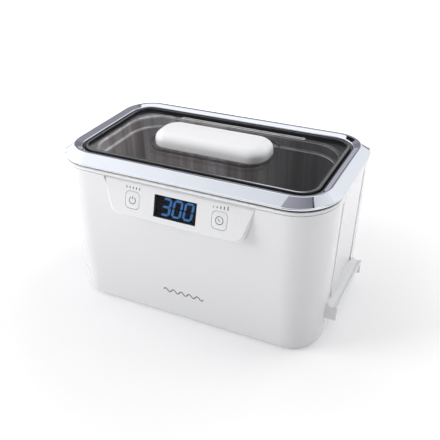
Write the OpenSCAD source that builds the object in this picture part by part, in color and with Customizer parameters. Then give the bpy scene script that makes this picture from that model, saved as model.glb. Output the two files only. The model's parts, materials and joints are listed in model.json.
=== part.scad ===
// Ultrasonic cleaner: a table-top bath with a drawn steel tank, a lift-off lid,
// a chromed rim, push buttons on a tilted visor and a finger grip at each end.
// Millimetres, +Z up. X is the long side and the control panel faces -Y.
// The origin is on the floor, under the middle of the overall box.

/* [Rim] */
// Length over the chromed rim
rim_l = 203.6; // [203.2:0.2:205]
// Depth over the chromed rim
rim_w = 121.8; // [121:0.2:123]
// Plan radius of the rim's outer corners
rim_r = 31; // [30.5:0.5:31.5]
// Height of the rim's lower edge above the floor
rim_z = 112.5; // [111:0.5:116]
// Height of the rim itself
rim_h = 5.9; // [5.5:0.1:7]
// Length over the rim's ridge, where its outer and inner bevels meet
ridge_l = 189; // [188:0.5:190]
// Depth over the rim's ridge
ridge_w = 101.8; // [101:0.2:103]
// Plan radius of the ridge's corners
ridge_r = 20.6; // [20.2:0.1:21]
// Width of the inner bevel, in plan
land_w = 4.9; // [4.6:0.1:5]
// Fall of the inner bevel towards the lid
land_fall = 2; // [1.6:0.1:2.2]

/* [Housing] */
// Length of the housing under the rim
top_l = 201.4; // [200.8:0.2:202]
// Depth of the housing under the rim
top_w = 119.6; // [119:0.2:120.6]
// Length of the housing at the floor
foot_l = 191.8; // [190:0.2:196]
// Depth of the housing at the floor
foot_w = 113.6; // [112:0.2:116]
// Wall thickness of the housing
wall = 2.4; // [2.2:0.1:2.6]
// Gap between the housing and the floor, made by the feet
floor_gap = 1.2; // [1:0.1:1.8]

/* [Tank] */
// Inside length of the tank's mouth
tank_l = 167; // [160:1:168]
// Inside depth of the tank's mouth
tank_w = 83; // [80:1:84]
// Plan radius of the tank's mouth
tank_r = 25; // [22:1:27]
// Depth of the tank below its flange
tank_depth = 60; // [54:1:62]
// Thickness of the tank's steel
steel_t = 0.8; // [0.6:0.1:0.9]

/* [Lid] */
// Gap between the lid and the rim, mostly filled by the seal
lid_gap = 2.2; // [2:0.1:2.4]
// Height of the seal above the tank's flange
seal_h = 2.3; // [1.8:0.1:2.6]
// Thickness of the lid's sheet
lid_t = 2; // [1.8:0.1:2.2]
// Length of the well around the handle
well_l = 90; // [88:1:96]
// Depth, front to back, of the well
well_w = 47; // [45:1:50]
// Height of the well's sides
well_h = 3.4; // [3:0.1:3.8]
// Offset of the well and handle from the lid's middle, to the left
well_dx = 2.4; // [0:0.2:3]
// Offset of the well and handle from the lid's middle, to the back
well_dy = 1.5; // [0:0.1:2]
// Length of the handle
handle_l = 87; // [80:0.5:87.4]
// Depth, front to back, of the handle
handle_w = 32; // [28:1:34]
// Height of the handle
handle_h = 10.6; // [9:0.1:12]
// How far the handle sits to the left of its well's middle
handle_shift = 0.9; // [0:0.1:1]

/* [Control panel] */
// Width of the visor's top edge
visor_top = 111.2; // [110:0.2:112]
// Width of the visor's bottom edge
visor_bottom = 100; // [97:0.5:101]
// Radius of the visor's lower corners
visor_r = 8.5; // [6:0.5:9]
// Height of the visor along its face
visor_h = 24.6; // [24:0.1:25]
// Lean of the visor's face back from upright, in degrees
visor_tilt = 16; // [14:0.5:17]
// Distance of each button from the middle
button_x = 32.2; // [31:0.1:34]
// Width of a button
button_w = 10.8; // [10:0.1:11.4]
// Height of a button
button_h = 11.8; // [11:0.1:12.2]
// Travel of a button
button_travel = 0.6; // [0.4:0.05:0.6]
// Width of the display window
window_w = 31.2; // [30:0.1:32]
// Height of the display window
window_h = 15.2; // [14.8:0.1:16.4]
// Height of the lit digits
digit_h = 11; // [10:0.1:11.6]

/* [Grips] */
// Width of each end grip's ledge, front to back
grip_w = 64; // [60:0.5:64]
// Width of the flush panel above each ledge
panel_w = 48.6; // [44:0.2:52]
// Height of the grip's ledge above the floor
grip_z = 28; // [26:0.5:30]
// Overall length over the two ledges
grip_span = 210; // [208:0.5:211]
// Height of the sweep above the ledge
grip_rise = 6; // [4:0.5:9]
// Height of the closed ends under the ledge
grip_end_h = 11.5; // [10:0.5:12]

/* [Electrics] */
// Distance of the power inlet from the middle
inlet_x = 52; // [45:1:58]
// Height of the power inlet's middle above the floor
inlet_z = 22; // [20:1:26]
// Radius of the transducer's radiating mass
horn_r = 22; // [18:1:23]

/* [Hidden] */
$fn = 64;
eps = 0.01;

// Plan centres of the corner arcs that the ridge, mouth, seal and lid share
corner_x = ridge_l / 2 - ridge_r;
corner_y = ridge_w / 2 - ridge_r;
mouth_r = ridge_r - land_w;
ridge_z = rim_z + rim_h;

// Where the visor's face stands, before the whole part is centred
visor_y = -62.4;
visor_z = 96;
// Half the visor's height seen from the front, and its foot's reach forwards
visor_foot_y = visor_y - visor_h / 2 * sin(visor_tilt);
// The part is moved back so that its overall box is centred on the origin
seat_y = -(visor_foot_y + rim_w / 2) / 2;

lip_h = 3.9;
lip_proud = 0.4;
lip_z = rim_z - lip_h;
deck_z = lip_z - 0.2;
deck_t = 2;
gasket_t = 1.5;
flange_z = deck_z + deck_t + gasket_t;
flange_top = flange_z + steel_t;
flange_r = 16.2;
tank_floor = flange_top - tank_depth;
plate_t = 2.6;
plate_top = floor_gap + plate_t;
floor_screw = [85.4, 43.6];
rim_screw = [87.8, 44.2];
foot_at = [76, 26];
slack = 0.1;

board_z = 12;
board_t = 1.6;
board_top = board_z + board_t;
board_size = [50, 80];
board_mid = [52, 0];
board_post = [21, 35];

// ---- shared shapes ----

// Puts a piece in its place in the centred frame
module seat() {
    translate([0, seat_y, 0]) children();
}

// Rounded rectangle, centred
module plan(l, w, r) {
    square([l - 2 * r, w], center = true);
    square([l, w - 2 * r], center = true);
    for (sx = [-1, 1], sy = [-1, 1])
        translate([sx * (l / 2 - r), sy * (w / 2 - r)]) circle(r);
}

// Upright slab with a rounded plan, from z0 to z1
module slab(l, w, r, z0, z1) {
    translate([0, 0, z0]) linear_extrude(z1 - z0) plan(l, w, r);
}

// Carries a profile, drawn as distance from the corner centre against height, round the plan
module ring(cx, cy) {
    corners = [[cx, cy], [-cx, cy], [-cx, -cy], [cx, -cy]];
    for (q = [0:3])
        translate([corners[q].x, corners[q].y, 0])
            rotate([0, 0, 90 * q]) rotate_extrude(angle = 90) children();
    for (turn = [0, 180])
        rotate([0, 0, turn]) translate([cx, cy, 0])
            rotate([90, 0, 0]) linear_extrude(2 * cy) children();
    for (turn = [90, 270])
        rotate([0, 0, turn]) translate([cy, cx, 0])
            rotate([90, 0, 0]) linear_extrude(2 * cx) children();
}

// Four copies, mirrored about both middle planes
module four(x, y) {
    for (sx = [-1, 1], sy = [-1, 1]) translate([sx * x, sy * y, 0]) children();
}

// Points of an arc, counted from angle a0 to a1
function arc(cx, cy, r, a0, a1, steps = 8) =
    [for (i = [0:steps]) let (a = a0 + (a1 - a0) * i / steps) [cx + r * cos(a), cy + r * sin(a)]];

// Half length of the housing at height z
function end_x(z) = foot_l / 2 + (top_l - foot_l) / 2 * (z - floor_gap) / (lip_z - floor_gap);

// Pan-head screw with its head's underside at the origin, pointing up
module screw(r, length, head_r, head_h) {
    cylinder(r = r, h = length);
    translate([0, 0, -head_h]) difference() {
        cylinder(r = head_r, h = head_h);
        for (turn = [0, 90]) rotate([0, 0, turn])
            translate([0, 0, head_h * 0.2]) cube([head_r * 1.1, head_r * 0.25, head_h * 0.6], center = true);
    }
}

// Frame of the visor's face: x across, y up the face, z out of it
module on_visor() {
    seat() translate([0, visor_y, visor_z]) rotate([90 - visor_tilt, 0, 0]) children();
}

// Visor outline: a trapezium with rounded lower corners, grown by g on every side
module visor_outline(g) {
    r = visor_r + g;
    top = visor_h / 2 + g;
    lean = atan((visor_top - visor_bottom) / 2 / visor_h);
    x_top = visor_top / 2 + g;
    x_low = visor_bottom / 2 + g;
    cx = x_low - r * tan(45 - lean / 2) - r * tan(lean) / 2;
    cy = -top + r;
    polygon(concat([[x_top, top], [-x_top, top]],
        arc(-cx, cy, r, 180 + lean, 270), arc(cx, cy, r, 270, 360 - lean)));
}

// Tube swept along a smooth route through the points
function spline(p, s) = let (i = floor(s), f = s - i, n = len(p) - 1,
    a = p[max(i - 1, 0)], b = p[i], c = p[min(i + 1, n)], d = p[min(i + 2, n)])
    0.5 * (2 * b + (c - a) * f + (2 * a - 5 * b + 4 * c - d) * f * f + (3 * b - a - 3 * c + d) * f * f * f);
function unit(v) = v / norm(v);

module tube(points, r, sides = 8, per_span = 4) {
    n = (len(points) - 1) * per_span;
    path = [for (i = [0:n]) spline(points, min(i / per_span, len(points) - 1.0001))];
    rings = [for (i = [0:n]) let (
        t = unit(path[min(i + 1, n)] - path[max(i - 1, 0)]),
        u = unit(cross(t, abs(t.z) < 0.9 ? [0, 0, 1] : [1, 0, 0])), v = cross(t, u))
        for (k = [0:sides - 1]) path[i] + r * (cos(360 * k / sides) * u + sin(360 * k / sides) * v)];
    faces = concat([[for (k = [0:sides - 1]) k]],
        [for (i = [0:n - 1], k = [0:sides - 1]) let (a = i * sides, b = (k + 1) % sides)
            [a + k, a + k + sides, a + b + sides, a + b]],
        [[for (k = [sides - 1:-1:0]) n * sides + k]]);
    polyhedron(rings, faces);
}

// ---- outer body ----

// The housing's outside, shrunk by t on every side and open past both ends when it is a core
module body_form(t, open) {
    chamfer = open ? 0 : 2;
    z0 = floor_gap - (open ? 1 : 0);
    hull() {
        slab(foot_l - 2 * t - chamfer, foot_w - 2 * t - chamfer, 23.4 - t - chamfer / 2, z0, z0 + eps);
        slab(foot_l - 2 * t + 0.2, foot_w - 2 * t + 0.1, 23.5 - t, floor_gap + 2, floor_gap + 2 + eps);
        slab(top_l - 2 * t, top_w - 2 * t, 29.2 - t, lip_z - eps, lip_z);
    }
}

module main_housing() {
    boss_top = 18;
    color("white") difference() {
        seat() difference() {
            union() {
                difference() {
                    body_form(0, false);
                    body_form(wall, true);
                }
                difference() {
                    slab(top_l + 2 * lip_proud, top_w + 2 * lip_proud, 29.2 + lip_proud, lip_z, rim_z);
                    slab(top_l - 2 * wall, top_w - 2 * wall, 29.2 - wall, lip_z - 1, rim_z + 1);
                }
                difference() {
                    slab(top_l - 2 * wall + 1, top_w - 2 * wall + 1, 27.3, deck_z, deck_z + deck_t);
                    slab(tank_l + 4, tank_w + 3, tank_r + 1.6, deck_z - 1, deck_z + deck_t + 1);
                }
                intersection() {
                    four(floor_screw.x, floor_screw.y)
                        translate([0, 0, plate_top + slack]) cylinder(r = 6.4, h = boss_top - plate_top);
                    body_form(1, false);
                }
            }
            four(floor_screw.x, floor_screw.y) cylinder(r = 1.25, h = boss_top - 2);
            four(rim_screw.x, rim_screw.y)
                translate([0, 0, deck_z - 1]) cylinder(r = 1.6, h = deck_t + 2);
            for (side = [0, 180]) rotate([0, 0, side]) grip_opening();
            translate([-inlet_x, foot_w / 2, inlet_z]) cube([20.4, 14, 14.4], center = true);
            for (sx = [-1, 1])
                translate([-inlet_x + sx * 14, foot_w / 2 + 6, inlet_z])
                    rotate([90, 0, 0]) cylinder(r = 1.2, h = 12);
        }
        on_visor() translate([0, 0, -12]) linear_extrude(16) visor_outline(slack);
        visor_top_relief();
    }
}

// Clears the lip's underside above the visor, so that the visor tucks under the lip
module visor_top_relief() {
    seat() translate([-visor_top / 2, -top_w / 2 - 2, lip_z - 3])
        cube([visor_top, 4.2, 3]);
}

module base_plate() {
    slots = 7;
    slot_pitch = 12;
    color("whitesmoke") seat() difference() {
        union() {
            slab(foot_l - 2 * wall - 0.5, foot_w - 2 * wall - 0.5, 20.7, floor_gap, plate_top);
            for (sx = [-1, 1], sy = [-1, 1])
                translate([board_mid.x + sx * board_post.x, sy * board_post.y, plate_top - eps])
                    cylinder(r = 3, h = board_z - plate_top + eps);
        }
        four(floor_screw.x, floor_screw.y) {
            cylinder(r = 1.5, h = 6);
            translate([0, 0, floor_gap - 1]) cylinder(r = 3.1, h = 2.3);
        }
        four(foot_at.x, foot_at.y) translate([0, 0, floor_gap - 1]) cylinder(r = 6, h = 2.2);
        for (sx = [-1, 1], sy = [-1, 1])
            translate([board_mid.x + sx * board_post.x, sy * board_post.y, plate_top + 2])
                cylinder(r = 1.25, h = 10);
        for (i = [0:slots - 1])
            translate([(i - (slots - 1) / 2) * slot_pitch, 0, 0]) slab(3, 44, 1.45, 0, 6);
    }
}

module rubber_feet() {
    color("dimgray") seat() four(foot_at.x, foot_at.y) difference() {
        cylinder(r = 6, h = floor_gap + 1.2);
        translate([0, 0, -eps]) cylinder(r = 2.4, h = 0.5);
    }
}

module base_screws() {
    color("silver") seat() four(floor_screw.x, floor_screw.y)
        translate([0, 0, floor_gap + 1.3]) screw(1.2, 11, 2.8, 1.1);
}

module chrome_rim() {
    under = ridge_z - 2.2;
    lap = 0.9;
    color("lightsteelblue") seat() difference() {
        union() {
            difference() {
                hull() {
                    slab(rim_l - lap, rim_w - lap, rim_r - lap / 2, rim_z, rim_z + eps);
                    slab(rim_l, rim_w, rim_r, rim_z + lap, rim_z + 1.2 * lap);
                    slab(ridge_l, ridge_w, ridge_r, ridge_z - eps, ridge_z);
                }
                hull() {
                    slab(rim_l - 6.8, rim_w - 6.8, rim_r - 3.4, rim_z - eps, rim_z);
                    slab(ridge_l, ridge_w, ridge_r, under - eps, under);
                }
            }
            ring(corner_x, corner_y) polygon([[mouth_r, flange_top + 0.1], [mouth_r + 2, flange_top + 0.1],
                [mouth_r + 2, ridge_z - land_fall], [mouth_r, ridge_z - land_fall]]);
            four(rim_screw.x, rim_screw.y)
                translate([0, 0, deck_z + deck_t + slack]) cylinder(r = 3, h = under - deck_z - deck_t);
        }
        hull() {
            slab(2 * (corner_x + mouth_r), 2 * (corner_y + mouth_r), mouth_r, ridge_z - land_fall, ridge_z);
            slab(ridge_l, ridge_w, ridge_r, ridge_z, ridge_z + 1);
        }
        slab(2 * (corner_x + mouth_r), 2 * (corner_y + mouth_r), mouth_r, rim_z - 1, ridge_z);
        four(rim_screw.x, rim_screw.y) translate([0, 0, deck_z]) cylinder(r = 1.22, h = 8.2);
    }
}

module rim_screws() {
    color("silver") seat() four(rim_screw.x, rim_screw.y)
        translate([0, 0, deck_z]) screw(1.2, 8, 2.5, 1.2);
}

// ---- tank ----

module tank() {
    cx = tank_l / 2 - tank_r;
    cy = tank_w / 2 - tank_r;
    t = steel_t;
    step = 2.2;
    step_z = flange_top - 9;
    fillet = 8;
    inner_r = tank_r - step;
    low_r = inner_r - fillet;
    flange_l = 2 * (corner_x + flange_r);
    flange_w = 2 * (corner_y + flange_r);
    color("silver") seat() {
        difference() {
            slab(flange_l, flange_w, flange_r, flange_top - t, flange_top);
            slab(tank_l - eps, tank_w - eps, tank_r, flange_top - 2, flange_top + 1);
        }
        ring(cx, cy) polygon(concat(
            [[tank_r, flange_top - t / 2], [tank_r, step_z], [inner_r, step_z - 2.4]],
            arc(low_r, tank_floor + fillet, fillet, 0, -90, 8),
            [[low_r, tank_floor - t]],
            arc(low_r, tank_floor + fillet, fillet + t, -80, 0, 8),
            [[inner_r + t, step_z - 2.8], [tank_r + t, step_z - 0.4], [tank_r + t, flange_top - t / 2]]));
        slab(2 * (cx + low_r) + eps, 2 * (cy + low_r) + eps, low_r, tank_floor - t, tank_floor);
    }
}

module tank_gasket() {
    color("gray") seat() difference() {
        slab(tank_l + 12, tank_w + 8, tank_r + 3, deck_z + deck_t, flange_top - steel_t);
        slab(tank_l + 4, tank_w + 3, tank_r + 1.6, deck_z, flange_top);
    }
}

// Black ring that fills the gap between the rim and the lid
module lid_seal() {
    color("dimgray") seat() ring(corner_x, corner_y) polygon([[lid_r + 0.35, flange_top],
        [mouth_r - 0.05, flange_top], [mouth_r - 0.05, flange_top + seal_h],
        [lid_r + 0.65, flange_top + seal_h], [lid_r + 0.35, flange_top + seal_h - 0.3]]);
}

// ---- control panel ----

module control_panel() {
    skin = 2;
    color("white") on_visor() difference() {
        union() {
            difference() {
                translate([0, 0, -9]) linear_extrude(9) visor_outline(0);
                translate([0, 0, -10]) linear_extrude(10 - skin) visor_outline(-skin);
            }
            four(41, 7) translate([0, 0, -8]) cylinder(r = 2, h = 8 - skin + eps);
        }
        linear_extrude(8, center = true) square([window_w + slack, window_h + slack], center = true);
        for (sx = [-1, 1]) translate([sx * button_x, 0, -4])
            linear_extrude(8) plan(button_w + 0.5, button_h + 0.5, 3.25);
        four(41, 7) translate([0, 0, -9]) cylinder(r = 0.87, h = 5.5);
    }
}

module display_window() {
    color("black") on_visor() translate([0, 0, -1.5])
        linear_extrude(1.5) square([window_w, window_h], center = true);
}

module led_display() {
    color("darkslategray") on_visor() translate([0, 0, -8])
        linear_extrude(6) square([window_w - 1.6, window_h - 2], center = true);
}

// One bar of a digit, pointed at both ends, centred
module bar(length, thick) {
    h = thick / 2;
    l = length / 2;
    polygon([[-l, 0], [-l + h, h], [l - h, h], [l, 0], [l - h, -h], [-l + h, -h]]);
}

// Seven-bar digit: the list says which bars are lit, from the top bar clockwise to the middle
module digit(lit) {
    w = digit_h * 0.5;
    h = digit_h / 2;
    thick = digit_h * 0.14;
    places = [[0, h, 0], [w / 2, h / 2, 90], [w / 2, -h / 2, 90], [0, -h, 0],
        [-w / 2, -h / 2, 90], [-w / 2, h / 2, 90], [0, 0, 0]];
    multmatrix([[1, 0.14, 0, 0], [0, 1, 0, 0]])
        for (i = [0:6]) if (lit[i] == 1)
            translate([places[i].x, places[i].y]) rotate(places[i].z)
                bar((i % 3 == 0 ? w : h) - 0.35, thick);
}

module led_digits() {
    three = [1, 1, 1, 1, 0, 0, 1];
    zero = [1, 1, 1, 1, 1, 1, 0];
    shown = [three, zero, zero];
    color("royalblue") on_visor() translate([0.9, 0, -2])
        linear_extrude(0.2) for (i = [0:2]) translate([(i - 1) * digit_h * 0.75, 0]) digit(shown[i]);
}

// Button cap with a retaining flange behind the panel and a stem towards its switch
module button(side) {
    color("white") on_visor() translate([side * button_x, 0, 0]) {
        translate([0, 0, -2.9]) linear_extrude(3.1) plan(button_w, button_h, 3);
        translate([0, 0, -2.9]) linear_extrude(0.7) plan(button_w + 2, button_h + 2, 3.6);
        translate([0, 0, -3.6]) cylinder(r = 1.6, h = 1);
    }
}

module power_button() {
    button(-1);
}

module timer_button() {
    button(1);
}

module control_board() {
    color("darkgreen") on_visor() difference() {
        translate([0, 0, -9.6]) linear_extrude(1.6) plan(88, 18, 1);
        four(41, 7) translate([0, 0, -10]) cylinder(r = 1, h = 3);
    }
}

module tact_switches() {
    color("dimgray") on_visor() for (sx = [-1, 1]) translate([sx * button_x, 0, -8]) {
        linear_extrude(3.2) square(6, center = true);
        cylinder(r = 1.7, h = 3.65);
    }
}

module panel_screws() {
    color("silver") on_visor() four(41, 7) translate([0, 0, -9.6]) screw(0.85, 5.4, 1.8, 1.1);
}

// ---- lid ----

lid_r = mouth_r - lid_gap;
lid_l = 2 * (corner_x + lid_r);
lid_w = 2 * (corner_y + lid_r);
lid_low = flange_top + 0.05;
lid_top = ridge_z - 1.8;
well_floor = lid_top - well_h;
well_r = 16;

// Puts a piece over the lid's well
module at_well() {
    seat() translate([-well_dx, well_dy, 0]) children();
}

module lid_panel() {
    color("dimgray", 0.6) difference() {
        union() {
            seat() slab(lid_l, lid_w, lid_r, lid_top - lid_t, lid_top);
            seat() difference() {
                slab(lid_l, lid_w, lid_r, lid_low, lid_top - lid_t + eps);
                slab(lid_l - 3, lid_w - 3, lid_r - 1.5, lid_low - 1, lid_top);
            }
            at_well()
                slab(well_l + 2 * lid_t, well_w + 2 * lid_t, well_r + lid_t, well_floor - lid_t, lid_top - lid_t + eps);
        }
        at_well() slab(well_l, well_w, well_r, well_floor, lid_top + 1);
        at_well() for (sx = [-1, 1]) translate([sx * 28, 0, well_floor - 3]) cylinder(r = 1.7, h = 5);
    }
}

module lid_handle() {
    h = handle_h;
    r = 12;
    color("white") at_well() translate([-handle_shift, 0, well_floor]) difference() {
        hull() {
            slab(handle_l - 3, handle_w - 3, r, 0, eps, $fn = 32);
            slab(handle_l, handle_w, r, 1.6, 2.4, $fn = 32);
            slab(handle_l - 2.4, handle_w - 2.4, r - 1, h - 3, h - 2.9, $fn = 32);
            slab(handle_l - 6, handle_w - 6, r - 2, h - 1.1, h - 1, $fn = 32);
            slab(handle_l - 13, handle_w - 13, r - 5, h - eps, h, $fn = 32);
        }
        for (sx = [-1, 1]) translate([sx * 28 + handle_shift, 0, -eps]) cylinder(r = 1.47, h = 7);
    }
}

module lid_screws() {
    color("silver") at_well() for (sx = [-1, 1])
        translate([sx * 28, 0, well_floor - lid_t]) screw(1.45, 8, 2.8, 1.6);
}

// ---- end grips ----

// Opening in the housing's end wall that a grip fills: wide at the ledge, narrower above it
module grip_opening() {
    x = end_x(floor_gap) - 8;
    translate([x, -panel_w / 2, 9]) cube([20, panel_w, lip_z - 9 + eps]);
    translate([x, -grip_w / 2, 9]) cube([20, grip_w, grip_z + grip_rise + 0.3 - 9]);
}

// End view of a grip: flush panel above, swept ledge, then the panel's foot
function sweep(r_out, drop, z0, x0) = [for (i = [0:12]) let (a = 90 * i / 12)
    [x0 + r_out * (1 - cos(a)), z0 - drop * sin(a)]];

module grip(side) {
    reach = grip_span / 2;
    gap = 0.3;
    t = 1.8;
    z_start = grip_z + grip_rise;
    x_start = end_x(z_start);
    low = 9.2;
    upper = lip_z - 0.3;
    half = grip_w / 2 - gap;
    wall_low = grip_z - grip_end_h;
    outside = concat([[end_x(upper) - wall, upper], [end_x(upper), upper]],
        sweep(reach - x_start, grip_rise, z_start, x_start));
    under = [for (i = [12:-1:0]) let (a = 90 * i / 12)
        [x_start - t + (reach - x_start) * (1 - cos(a)) + t * i / 12,
            z_start - 2 - (grip_rise - 0.4) * sin(a)]];
    back = [[end_x(z_start - 6) - t, z_start - 6], [end_x(low) - 1, low], [end_x(low) - 1 - t, low],
        [end_x(z_start) - wall - t, z_start]];
    tip = sweep(reach - x_start - 0.5, grip_rise, z_start - 0.8, x_start);
    cheek = concat([[end_x(wall_low) - 2, wall_low], [x_start - 2, z_start - 0.8]], tip, [[reach - 0.6, wall_low]]);
    color("white") seat() scale([side, 1, 1]) {
        translate([0, panel_w / 2 - gap, 0]) rotate([90, 0, 0]) linear_extrude(panel_w - 2 * gap)
            polygon(concat(outside, under, back));
        intersection() {
            translate([0, half, 0]) rotate([90, 0, 0]) linear_extrude(2 * half)
                polygon(concat(outside, under, back));
            translate([0, -half, low - 1]) cube([reach + 1, 2 * half, z_start + 1 - low]);
        }
        for (y = [-half + t, half])
            translate([0, y, 0]) rotate([90, 0, 0]) linear_extrude(t) polygon(cheek);
    }
}

module right_grip() {
    grip(1);
}

module left_grip() {
    grip(-1);
}

// ---- power inlet ----

module at_inlet() {
    seat() translate([-inlet_x, foot_w / 2 + 2.2, inlet_z]) rotate([90, 0, 0]) children();
}

// Socket outline for a two-pole plug: two circles and the web between them
module figure_eight(r, pitch) {
    for (sx = [-1, 1]) translate([sx * pitch / 2, 0]) circle(r);
    square([pitch, 2 * r - 1], center = true);
}

module power_inlet() {
    color("black") at_inlet() difference() {
        union() {
            translate([0, 0, -0.8]) linear_extrude(2.2) plan(34, 16, 3);
            linear_extrude(17) square([20, 14], center = true);
        }
        translate([0, 0, -2]) linear_extrude(15) figure_eight(4.4, 8.6);
        for (sx = [-1, 1]) translate([sx * 4.3, 0, 0]) cylinder(r = 1.2, h = 20);
        for (sx = [-1, 1]) translate([sx * 14, 0, -2]) cylinder(r = 1.3, h = 8);
    }
}

module inlet_pins() {
    color("gold") at_inlet() for (sx = [-1, 1]) translate([sx * 4.3, 0, 4]) cylinder(r = 1.19, h = 18);
}

module inlet_screws() {
    color("silver") at_inlet() for (sx = [-1, 1])
        translate([sx * 14, 0, -0.8]) screw(1.15, 9, 2.2, 1);
}

// ---- driver electronics ----

module on_board() {
    seat() translate([board_mid.x, board_mid.y, board_top]) children();
}

module driver_board() {
    color("darkgreen") on_board() translate([0, 0, -board_t]) difference() {
        linear_extrude(board_t) plan(board_size.x, board_size.y, 2);
        four(board_post.x, board_post.y) translate([0, 0, -1]) cylinder(r = 1.6, h = 4);
    }
}

module board_screws() {
    color("silver") on_board() four(board_post.x, board_post.y)
        rotate([180, 0, 0]) screw(1.2, 7, 2.4, 1.4);
}

module transformer_core() {
    color("dimgray") on_board() translate([8, -16, 0]) difference() {
        translate([-12, -11, 0]) cube([24, 22, 18]);
        translate([-8, -12, 4]) cube([16, 24, 10]);
    }
}

module transformer_winding() {
    color("goldenrod") on_board() translate([8, -16, 4]) linear_extrude(10) plan(16, 27, 3);
}

module filter_capacitors() {
    color("navy") on_board() for (y = [10, 24]) translate([12, y, 0]) {
        cylinder(r = 6, h = 20);
        cylinder(r = 6.3, h = 1);
    }
}

module power_heatsink() {
    fins = 6;
    color("silver") on_board() translate([-16, 12, 0]) {
        translate([-2, -17, 0]) cube([3, 34, 24]);
        for (i = [0:fins - 1]) translate([-9, -17 + i * 32 / (fins - 1), 0]) cube([8, 2, 24]);
    }
}

module power_transistors() {
    color("black") on_board() for (y = [-2, 16]) translate([-15, y, 6]) cube([4.6, 10, 14]);
}

module mains_fuse() {
    color("tan") on_board() translate([-10, -36, 5]) rotate([0, 90, 0]) {
        cylinder(r = 2.6, h = 20);
        for (z = [0, 14]) translate([0, -3, z]) cube([5, 6, 6]);
    }
}

// ---- transducer ----

horn_h = 16;
ring_h = 5;
tab_t = 0.5;
stack_top = tank_floor - steel_t - horn_h;
// Which way each electrode's tab points
tab_turn = [-42, -26, -42];

module front_mass() {
    color("silver") seat() difference() {
        translate([0, 0, stack_top]) cylinder(r1 = horn_r - 4, r2 = horn_r, h = horn_h);
        translate([0, 0, stack_top - 1]) cylinder(r = 4, h = 13);
    }
}

module piezo_rings() {
    color("darkgray") seat() for (i = [0, 1])
        translate([0, 0, stack_top - (i + 1) * (ring_h + tab_t)]) difference() {
            cylinder(r = 17.5, h = ring_h);
            translate([0, 0, -1]) cylinder(r = 6.5, h = ring_h + 2);
        }
}

module electrode_tabs() {
    color("gold") seat() for (i = [0, 1, 2])
        translate([0, 0, stack_top - i * (ring_h + tab_t) - tab_t]) difference() {
            union() {
                cylinder(r = 17.5, h = tab_t);
                rotate([0, 0, tab_turn[i]]) translate([0, -2.5, 0]) cube([25, 5, tab_t]);
            }
            translate([0, 0, -1]) cylinder(r = 6.5, h = 3);
        }
}

module back_mass() {
    height = 12;
    color("dimgray") seat() translate([0, 0, stack_top - 2 * ring_h - 3 * tab_t - height]) difference() {
        cylinder(r = 17.5, h = height);
        translate([0, 0, -1]) cylinder(r = 4.3, h = height + 2);
        translate([0, 0, -1]) cylinder(r = 7, h = 6);
    }
}

module transducer_bolt() {
    seat_z = stack_top - 2 * ring_h - 3 * tab_t - 7;
    color("slategray") seat() difference() {
        union() {
            translate([0, 0, seat_z]) cylinder(r = 3.95, h = stack_top - seat_z + 10);
            translate([0, 0, seat_z - 5]) cylinder(r = 6.5, h = 5);
        }
        translate([0, 0, seat_z - 6]) cylinder(r = 3, h = 4, $fn = 6);
    }
}

// ---- wiring ----

// Each lead leaves the top of its tab and drops to the board
module transducer_leads() {
    r = 0.8;
    color("firebrick") seat() for (i = [0, 1]) let (
        a = tab_turn[i], z = stack_top - i * (ring_h + tab_t) + r + 0.1, y = -21 + 6 * i)
        tube([[21 * cos(a), 21 * sin(a), z], [26 * cos(a), 26 * sin(a), z],
            [31, y, z - 6], [33, y, 22], [33, y, board_top + 4], [33, y, board_top + 0.4]], r);
}

// Each lead runs from a pin of the inlet, under the transducer, to the board
module mains_leads() {
    color("saddlebrown") seat() for (i = [0, 1]) let (
        x = -inlet_x + 4.3 - 8.6 * i, y = 36 - 5 * i)
        tube([[x, 36.6, inlet_z], [x + 1, y - 4, inlet_z - 1], [x + 14, y - 6, 14], [0, y - 2, 9.5],
            [20, y, 14], [34, y, 20], [38, y, board_top + 3], [38, y, board_top + 0.4]], 1.1);
}

// Four wires side by side, from the back of the control board to the driver board
module panel_cable() {
    color("lightgray") seat() for (i = [0:3]) let (x = 35.5 + 1.6 * i)
        tube([[x, -49.6, 92], [x, -47.5, 88], [x, -46.5, 70], [x, -46.5, 45], [x, -43, 26],
            [x, -37, 20], [x, -35.5, board_top + 4], [x, -35.5, board_top + 0.4]], 0.7, 6);
}

main_housing();
base_plate();
rubber_feet();
base_screws();
chrome_rim();
rim_screws();
tank();
tank_gasket();
lid_seal();
control_panel();
display_window();
led_display();
led_digits();
power_button();
timer_button();
control_board();
tact_switches();
panel_screws();
lid_panel();
lid_handle();
lid_screws();
right_grip();
left_grip();
power_inlet();
inlet_pins();
inlet_screws();
driver_board();
board_screws();
transformer_core();
transformer_winding();
filter_capacitors();
power_heatsink();
power_transistors();
mains_fuse();
front_mass();
piezo_rings();
electrode_tabs();
back_mass();
transducer_bolt();
transducer_leads();
mains_leads();
panel_cable();
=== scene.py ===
import bpy
import bmesh
import json
import math
from mathutils import Matrix, Vector


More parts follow.
